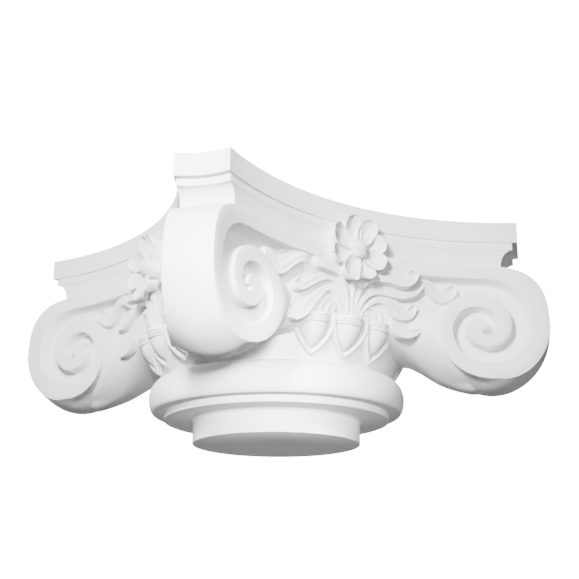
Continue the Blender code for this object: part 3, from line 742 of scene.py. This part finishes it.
def build_leaves():
    """Arching leaves and thin stems of every face."""
    carving = bpy.context.scene.capital_carving
    shape = bmesh.new()
    for stations in STEMS.values():
        tube(shape, leaf_rings(stations[::-1], 1, carving.leaf_rise * STEM_RISE, 24))
    mirrored_copy(shape)
    for stations in LEAVES.values():
        tube(shape, leaf_rings(stations, 2, carving.leaf_rise, 5 * len(stations)))
    turned_copies(shape)
    return finish_piece("leaves", shape, 50.0)


# Cups and straps

CUP_LEVEL = 0.1245
CUP_DEPTH = 0.039
CUP_RADIUS = 0.0183
CUP_CENTRE = 0.1535
CUP_LEAN = 11.0
CUP_FULLNESS = 0.72
# Edges of the three ridges of the rim, below its top
RIM_RIDGES = ((0.0, 0.0042), (0.0047, 0.0071), (0.0076, 0.0101))
RIM_PROUD = 0.0017


def cup_profile():
    """Profile of a cup: three ridges round the rim, then an acorn-shaped body, from the rim down."""
    points = [(0.004, -0.0008), (CUP_RADIUS - 0.0006, 0.0)]
    ridge = CUP_RADIUS + RIM_PROUD
    for top, foot in RIM_RIDGES:
        points += [(ridge - 0.0004, -top - 0.0003), (ridge, -(top + foot) / 2.0),
                   (ridge - 0.0005, -foot), (CUP_RADIUS + 0.0003, -foot - 0.0003)]
    start = RIM_RIDGES[-1][1] + 0.0006
    for step in range(15):
        share = step / 14
        radius = (CUP_RADIUS - 0.0004) * max(0.0, math.cos(math.radians(90.0) * share)) ** CUP_FULLNESS
        points.append((radius, -start - (CUP_DEPTH - start) * share))
    return points


def add_cup(shape, angle):
    """One cup set into the bell, at an angle from the face's middle."""
    part = bmesh.new()
    spin_profile(part, rounded(cup_profile(), 0.0005, 2), 40)
    lean = Matrix.Rotation(math.radians(CUP_LEAN), 4, "X")
    place = Matrix.Rotation(angle, 4, "Z") @ Matrix.Translation((0.0, -CUP_CENTRE, CUP_LEVEL)) @ lean
    bmesh.ops.transform(part, matrix=place, verts=part.verts)
    copy_in(shape, part)


def bell_spot(angle, radius, height):
    """Places about the axis, at angles from the middle of the -Y face."""
    return np.stack([radius * np.sin(angle), -radius * np.cos(angle), height], axis=-1)


# Stations down a strap: share of half the cups' spacing, radius about the axis, and depth below the rim
STRAP = ((1.0, 0.1640, 0.0015), (1.0, 0.1640, 0.0080), (0.95, 0.1625, 0.0175), (0.76, 0.1580, 0.0280),
         (0.40, 0.1525, 0.0375), (0.0, 0.1475, 0.0445))
STRAP_HALF = 0.0024
STRAP_DOME = 0.0030
STRAP_SUNK = 0.0018
STRAP_ROOT = 0.02
STRAP_RADIUS = 0.155


def strap_rings(angle, side, spacing):
    """Sections of a strap that sweeps from beside a cup's rim to below its tip."""
    aside, radius, down = smooth_path(STRAP, 28).T
    turn = aside * spacing / 2.0
    level = CUP_LEVEL - down
    normal = square_to(turn * STRAP_RADIUS, level)
    across = np.linspace(-1.0, 1.0, 11)
    dome = STRAP_DOME * np.sqrt(1.0 - across ** 2 * 0.95) - STRAP_SUNK
    rings = []
    for index in range(len(turn)):
        sweep = angle + side * (turn[index] + normal[index, 0] * across * STRAP_HALF / radius[index])
        height = level[index] + normal[index, 1] * across * STRAP_HALF
        section = with_root(sweep, radius[index] + dome, height, radius[index] - STRAP_ROOT)
        rings.append(bell_spot(*section))
    return rings


def build_cups():
    """Cups and the pointed straps that hold them."""
    spacing = bpy.context.scene.capital_carving.cup_spacing
    shape = bmesh.new()
    for place in (-1, 0, 1):
        add_cup(shape, place * spacing)
        for side in (-1, 1):
            tube(shape, strap_rings(place * spacing, side, spacing))
    turned_copies(shape)
    return finish_piece("cups_and_straps", shape, 45.0)


# Flower

FLOWER_LEVEL = 0.1965
FLOWER_OUT = 0.0062
HEART_RADIUS = 0.0106
HEART_FLATTENING = 0.72
SEEDS = 90
SEED_RISE = 0.0016
SEED_SPREAD = 0.009
SEED_SCATTER = 0.02
# Bearing of each petal, and its length as a share of the full one
PETALS = ((154, 1.06), (104, 1.0), (63, 0.96), (22, 0.92),
          (-24, 0.90), (-68, 0.90), (-112, 1.04), (-162, 1.02))
PETAL_WIDEST = 0.60
PETAL_SCOOP = 0.0040
PETAL_CURL = 0.0030
PETAL_HOLLOW = 0.0034
PETAL_RIB = 0.0007
PETAL_ROOT = 0.004
PETAL_ROOT_SHARE = 0.82
PETAL_STAGGER = 0.0016


def petal_half(share):
    """Half width of a petal at a share of its length, as a share of its widest."""
    full = 0.42 + 0.58 * math.sin(math.radians(90.0) * min(1.0, share / PETAL_WIDEST))
    ending = max(0.0, (share - PETAL_WIDEST) / (1.0 - PETAL_WIDEST))
    return full * max(0.01, 1.0 - ending ** 3.2) ** 0.5


def petal_lift(across, share):
    """How far a petal stands out: cupped sides, a hollow middle with a faint rib, and a curled tip."""
    scoop = PETAL_SCOOP * np.abs(across) ** 2.2 * math.sin(math.radians(90.0) * min(1.0, share / 0.5))
    curl = PETAL_CURL * max(0.0, (share - 0.5) / 0.5) ** 2
    hollow = PETAL_HOLLOW * math.sin(math.pi * min(1.0, share * 1.15))
    rib = PETAL_RIB * np.exp(-(across / 0.12) ** 2) * math.sin(math.pi * share)
    return scoop + curl - hollow - rib


def petal_rings(bearing, length, width, lift):
    """Sections along a cupped petal, from the heart to its curled tip."""
    across = np.linspace(-1.0, 1.0, 15)
    inner = HEART_RADIUS * 0.6
    turn = math.radians(bearing)
    root = -FLOOR_DEPTH - PETAL_ROOT
    rings = []
    for share in np.linspace(0.0, 1.0, 21):
        side = across * width / 2.0 * petal_half(share)
        reach = inner + (length - inner) * share
        along = reach * math.cos(turn) - side * math.sin(turn)
        rise = reach * math.sin(turn) + side * math.cos(turn)
        out = lift + petal_lift(across, share)
        along, out, rise = with_root(along, out, rise, root, PETAL_ROOT_SHARE)
        rings.append(on_face(along, out, FLOWER_LEVEL + rise))
    return rings


def add_heart(shape):
    """Domed heart of the flower, stippled all over."""
    part = bmesh.new()
    bmesh.ops.create_uvsphere(part, u_segments=64, v_segments=40, radius=HEART_RADIUS)
    draws = np.random.default_rng(7)
    turns = np.arange(SEEDS) * math.pi * (3.0 - math.sqrt(5.0))
    drop = 1.0 - (np.arange(SEEDS) + 0.5) / SEEDS
    level = np.sqrt(1.0 - drop ** 2)
    spots = np.stack([level * np.cos(turns), level * np.sin(turns), drop], axis=-1)
    spots += draws.normal(0.0, SEED_SCATTER, spots.shape)
    spots /= np.linalg.norm(spots, axis=1)[:, None]
    for vert in part.verts:
        direction = np.array(vert.co.normalized())
        near = np.max(spots @ direction)
        bead = max(0.0, 1.0 - (1.0 - near) / SEED_SPREAD)
        vert.co = Vector(direction * (HEART_RADIUS - 0.0006 + SEED_RISE * math.sqrt(bead)))
        vert.co.z *= HEART_FLATTENING
    forwards = Matrix.Rotation(math.radians(90.0), 3, "X")
    bmesh.ops.rotate(part, verts=part.verts, cent=(0, 0, 0), matrix=forwards)
    spot = on_face(0.0, FLOWER_OUT - 0.001, FLOWER_LEVEL)
    bmesh.ops.translate(part, verts=part.verts, vec=Vector(spot))
    copy_in(shape, part)


# Stations up the stem, in millimetres: along, up, out and half width
STEM = ((0.5, 119, -12.5, 1.6), (0.3, 136, -11, 1.9), (0.0, 150, -8, 3.0), (0.0, 160, -5, 5.0),
        (0.0, 172, -1.5, 7.0), (0.0, 186, 1, 7.0))
STEM_DOME = 0.0034
STEM_ROOT = 0.006


def stem_rings():
    """Sections of the stem that widens into the flower's calyx."""
    across = np.linspace(-1.0, 1.0, 11)
    dome = STEM_DOME * np.sqrt(1.0 - across ** 2 * 0.9)
    rings = []
    for along, level, out, half in smooth_path(np.array(STEM) / 1000.0, 20):
        level = np.full(len(across), level)
        rings.append(on_face(*with_root(along + across * half, out + dome, level, -FLOOR_DEPTH - STEM_ROOT)))
    return rings


def build_flowers():
    """Open flower with its stem on the middle of every face."""
    carving = bpy.context.scene.capital_carving
    shape = bmesh.new()
    for index, (bearing, share) in enumerate(PETALS):
        lift = FLOWER_OUT - PETAL_STAGGER * (index % 2)
        tube(shape, petal_rings(bearing, carving.petal_length * share, carving.petal_width, lift))
    add_heart(shape)
    tube(shape, stem_rings())
    turned_copies(shape)
    return finish_piece("flowers", shape, 50.0)


# Stage

CAMERA_AZIMUTH = -30.986
CAMERA_ELEVATION = -17.992
CAMERA_ROLL = 0.247
CAMERA_DISTANCE = 1.2048
CAMERA_ASIDE = 0.01523
CAMERA_AIM = 0.19896
CAMERA_LENS = 58.68
SENSOR_WIDTH = 36.0
FLOOR_HALF = 6.0


def add_camera():
    """Camera below the capital, looking up at its near corner."""
    turn, tilt, roll = (math.radians(angle) for angle in (CAMERA_AZIMUTH, CAMERA_ELEVATION, CAMERA_ROLL))
    back = Vector((math.sin(turn) * math.cos(tilt), -math.cos(turn) * math.cos(tilt), math.sin(tilt)))
    right = Vector((math.cos(turn), math.sin(turn), 0.0))
    up = back.cross(right)
    level = right * math.cos(roll) + up * math.sin(roll)
    upright = up * math.cos(roll) - right * math.sin(roll)
    camera = bpy.data.objects.new("camera", bpy.data.cameras.new("camera"))
    camera.data.lens = CAMERA_LENS
    camera.data.sensor_width = SENSOR_WIDTH
    camera.matrix_world = Matrix((level, upright, back)).transposed().to_4x4()
    camera.location = right * CAMERA_ASIDE + Vector((0.0, 0.0, CAMERA_AIM)) + back * CAMERA_DISTANCE
    bpy.context.scene.collection.objects.link(camera)
    bpy.context.scene.camera = camera


def add_spot(name, power, bearing, distance, level, spread=46.0, softness=0.22, aim=(0.0, 0.0, 0.14)):
    """Soft spotlight at a bearing round from the front, held to the capital by its cone."""
    turn = math.radians(bearing)
    place = Vector((-distance * math.sin(turn), -distance * math.cos(turn), level))
    light = bpy.data.lights.new(name, "SPOT")
    light.energy = power
    light.spot_size = math.radians(spread)
    light.spot_blend = 0.6
    light.shadow_soft_size = softness
    lamp = bpy.data.objects.new(name, light)
    lamp.location = place
    lamp.visible_camera = False
    lamp.rotation_euler = (place - Vector(aim)).to_track_quat("Z", "Y").to_euler()
    bpy.context.scene.collection.objects.link(lamp)


def add_floor():
    """Plain pale floor, below the camera."""
    stage = bpy.context.scene.capital_stage
    shape = bmesh.new()
    bmesh.ops.create_grid(shape, x_segments=1, y_segments=1, size=FLOOR_HALF)
    bmesh.ops.translate(shape, verts=shape.verts, vec=(0.0, 0.0, stage.floor_level))
    mesh = bpy.data.meshes.new("floor")
    shape.to_mesh(mesh)
    shape.free()
    floor = bpy.data.objects.new("floor", mesh)
    bpy.context.scene.collection.objects.link(floor)
    floor.visible_diffuse = False
    material = bpy.data.materials.new("floor_paint")
    material.use_nodes = True
    shader = material.node_tree.nodes["Principled BSDF"]
    shader.inputs["Base Color"].default_value = (*stage.floor_colour, 1.0)
    shader.inputs["Roughness"].default_value = 0.8
    shader.inputs["Emission Color"].default_value = (1.0, 1.0, 1.0, 1.0)
    shader.inputs["Emission Strength"].default_value = stage.floor_glow
    mesh.materials.append(material)


def add_world():
    """Dim even surroundings in front of a plain white background."""
    stage = bpy.context.scene.capital_stage
    world = bpy.data.worlds.new("studio")
    world.use_nodes = True
    bpy.context.scene.world = world
    tree = Tree(world.node_tree)
    seen = tree.node("ShaderNodeLightPath", {}, {}, "Is Camera Ray")
    strength = seen * (stage.background - stage.surroundings) + stage.surroundings
    sky = world.node_tree.nodes["Background"]
    sky.inputs["Color"].default_value = (1.0, 1.0, 1.0, 1.0)
    world.node_tree.links.new(strength.socket, sky.inputs["Strength"])


def build_stage():
    """Camera, lights, floor and surroundings."""
    stage = bpy.context.scene.capital_stage
    add_camera()
    add_world()
    add_floor()
    add_spot("key", stage.key_power, bearing=43.0, distance=0.80, level=0.30, spread=64.0, softness=0.07,
             aim=(-0.06, -0.06, 0.14))
    add_spot("foot", stage.foot_power, bearing=28.0, distance=1.05, level=0.02, spread=16.0, softness=0.07,
             aim=(-0.06, -0.10, 0.035))
    add_spot("fill", stage.fill_power, bearing=12.0, distance=1.3, level=0.20)
    for name, bearing in (("back_left", 135.0), ("back_right", -135.0)):
        add_spot(name, stage.back_power, bearing=bearing, distance=1.6, level=0.5)
    add_spot("overhead", stage.top_power, bearing=0.0, distance=0.01, level=2.0, spread=19.0, softness=0.15)


# Panel, settings and operators


class CapitalCarvingSettings(PropertyGroup):
    """Sizes of the carving."""

    leaf_rise: FloatProperty(name="Leaf rise", description="How far a leaf's back stands over its edges",
                             default=0.0050, min=0.001, max=0.01, unit="LENGTH")
    cup_spacing: FloatProperty(name="Cup spacing", description="Angle about the axis between two cups",
                               default=math.radians(15.5), subtype="ANGLE")
    petal_length: FloatProperty(name="Petal length", description="From the flower's middle to a petal's tip",
                                default=0.040, min=0.02, max=0.045, unit="LENGTH")
    petal_width: FloatProperty(name="Petal width", description="Width of a petal where it is widest",
                               default=0.0225, min=0.01, max=0.03, unit="LENGTH")


class CapitalFinishSettings(PropertyGroup):
    """Colour and sheen of the cast surface."""

    colour: FloatVectorProperty(name="Colour", description="Colour of the primer",
                                default=(0.86, 0.86, 0.855), min=0.0, max=1.0, subtype="COLOR")
    clouding: FloatProperty(name="Clouding", description="How dark the faint clouds in the primer are",
                            default=0.97, min=0.5, max=1.0, subtype="FACTOR")
    roughness: FloatProperty(name="Roughness", description="Roughness of the primer", default=0.58,
                             min=0.2, max=1.0, subtype="FACTOR")


class CapitalStageSettings(PropertyGroup):
    """Light and floor."""

    floor_level: FloatProperty(name="Floor level", description="Height of the floor",
                               default=-0.6, unit="LENGTH")
    floor_glow: FloatProperty(name="Floor glow", description="Strength of the floor's own even light",
                              default=1.2)
    floor_colour: FloatVectorProperty(name="Floor colour", description="Colour of the floor",
                                      default=(0.62, 0.62, 0.62), min=0.0, max=1.0, subtype="COLOR")
    surroundings: FloatProperty(name="Surroundings", description="Brightness of the surroundings",
                                default=0.045)
    background: FloatProperty(name="Background", description="Brightness of the background", default=18.0)
    key_power: FloatProperty(name="Key light", description="Power of the light at the left front",
                             default=88.0, unit="POWER")
    foot_power: FloatProperty(name="Foot", description="Power of the narrow light on the ring and the neck",
                              default=210.0, unit="POWER")
    fill_power: FloatProperty(name="Fill light", description="Power of the light at the right front",
                              default=22.0, unit="POWER")
    back_power: FloatProperty(name="Back lights", description="Power of each light behind",
                              default=95.0, unit="POWER")
    top_power: FloatProperty(name="Overhead light", description="Power of the light overhead",
                             default=14.0, unit="POWER")


class CAPITAL_OT_abacus(Operator):
    """Build the moulded slab on top"""

    bl_idname = "capital.abacus"
    bl_label = "Abacus"

    def execute(self, context):
        build_abacus()
        return {"FINISHED"}


class CAPITAL_OT_foot(Operator):
    """Build the bell, the ring and the neck"""

    bl_idname = "capital.foot"
    bl_label = "Bell and ring"

    def execute(self, context):
        build_foot()
        return {"FINISHED"}


class CAPITAL_OT_volutes(Operator):
    """Build the rolls with their volutes, and what joins them"""

    bl_idname = "capital.volutes"
    bl_label = "Volutes"

    def execute(self, context):
        build_volutes()
        return {"FINISHED"}


class CAPITAL_OT_leaves(Operator):
    """Build the leaves"""

    bl_idname = "capital.leaves"
    bl_label = "Leaves"

    def execute(self, context):
        build_leaves()
        return {"FINISHED"}


class CAPITAL_OT_cups(Operator):
    """Build the cups and their straps"""

    bl_idname = "capital.cups"
    bl_label = "Cups and straps"

    def execute(self, context):
        build_cups()
        return {"FINISHED"}


class CAPITAL_OT_flowers(Operator):
    """Build the flowers and their stems"""

    bl_idname = "capital.flowers"
    bl_label = "Flowers"

    def execute(self, context):
        build_flowers()
        return {"FINISHED"}


class CAPITAL_OT_stage(Operator):
    """Set up the camera, the lights and the floor"""

    bl_idname = "capital.stage"
    bl_label = "Stage"

    def execute(self, context):
        build_stage()
        return {"FINISHED"}


OPERATORS = (CAPITAL_OT_abacus, CAPITAL_OT_foot, CAPITAL_OT_volutes, CAPITAL_OT_leaves, CAPITAL_OT_cups,
             CAPITAL_OT_flowers, CAPITAL_OT_stage)
SETTINGS = {"capital_carving": CapitalCarvingSettings, "capital_finish": CapitalFinishSettings,
            "capital_stage": CapitalStageSettings}


class CAPITAL_PT_panel(Panel):
    """Settings and pieces of the capital"""

    bl_idname = "CAPITAL_PT_panel"
    bl_label = "Ionic Capital"
    bl_space_type = "VIEW_3D"
    bl_region_type = "UI"
    bl_category = "Capital"

    def draw(self, context):
        for name, kind in SETTINGS.items():
            group = getattr(context.scene, name)
            for setting in kind.__annotations__:
                self.layout.prop(group, setting)
        for operator in OPERATORS:
            self.layout.operator(operator.bl_idname)


def register():
    for kind in (*SETTINGS.values(), *OPERATORS, CAPITAL_PT_panel):
        bpy.utils.register_class(kind)
    for name, kind in SETTINGS.items():
        setattr(bpy.types.Scene, name, PointerProperty(type=kind))


def unregister():
    for name in SETTINGS:
        delattr(bpy.types.Scene, name)
    for kind in (CAPITAL_PT_panel, *reversed(OPERATORS), *reversed(SETTINGS.values())):
        bpy.utils.unregister_class(kind)


def clear_start_scene():
    """Remove the objects that a new file starts with."""
    for name in ("Cube", "Light", "Camera"):
        piece = bpy.data.objects.get(name)
        if piece:
            bpy.data.objects.remove(piece)


def main():
    clear_start_scene()
    register()
    bpy.ops.capital.abacus()
    bpy.ops.capital.foot()
    bpy.ops.capital.volutes()
    bpy.ops.capital.leaves()
    bpy.ops.capital.cups()
    bpy.ops.capital.flowers()
    bpy.ops.capital.stage()


if __name__ == "__main__":
    main()
